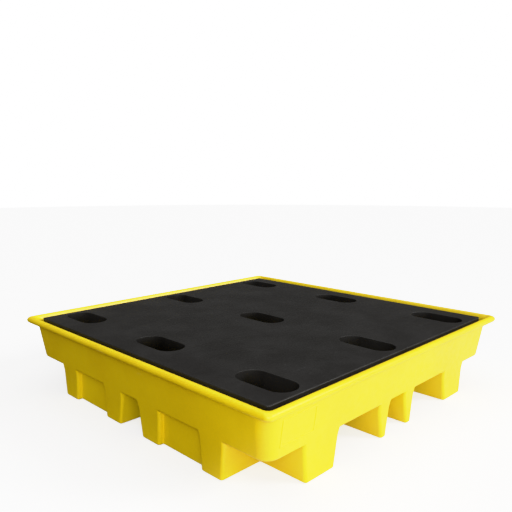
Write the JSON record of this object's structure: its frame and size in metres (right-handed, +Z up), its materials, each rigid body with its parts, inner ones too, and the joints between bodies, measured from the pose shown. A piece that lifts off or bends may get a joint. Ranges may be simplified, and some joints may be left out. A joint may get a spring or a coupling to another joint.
{
  "type": "spill containment pallet",
  "caption": "Low square drum pallet: an open-topped plastic sump on hollow feet with fork pockets, under a flat slotted deck that lifts out.",
  "frame": {"origin": "on the floor, under the middle of the pallet", "axes": "+Z up, +Y from the front to the back along the fork pockets, +X to the right"},
  "size_m": [1.2734, 1.2734, 0.2623],
  "materials": {
    "yellow_plastic": "moulded polyethylene, satin",
    "black_plastic": "moulded polyethylene, semi-gloss",
    "post_plastic": "extruded tube, matte"
  },
  "bodies": {
    "sump": {"sump_base": "yellow_plastic", "short_post_01": "post_plastic", "short_post_02": "post_plastic", "short_post_03": "post_plastic", "short_post_04": "post_plastic", "short_post_05": "post_plastic", "short_post_06": "post_plastic", "short_post_07": "post_plastic", "short_post_08": "post_plastic", "short_post_09": "post_plastic", "short_post_10": "post_plastic", "short_post_11": "post_plastic", "short_post_12": "post_plastic", "tall_post_01": "post_plastic", "tall_post_02": "post_plastic", "tall_post_03": "post_plastic", "tall_post_04": "post_plastic"},
    "deck": {"deck": "black_plastic"}
  },
  "joints": [
    {"name": "deck_lift", "type": "slide", "parent": "sump", "child": "deck", "axis": [0, 0, 1], "range_m": [0, 0.3]}
  ]
}
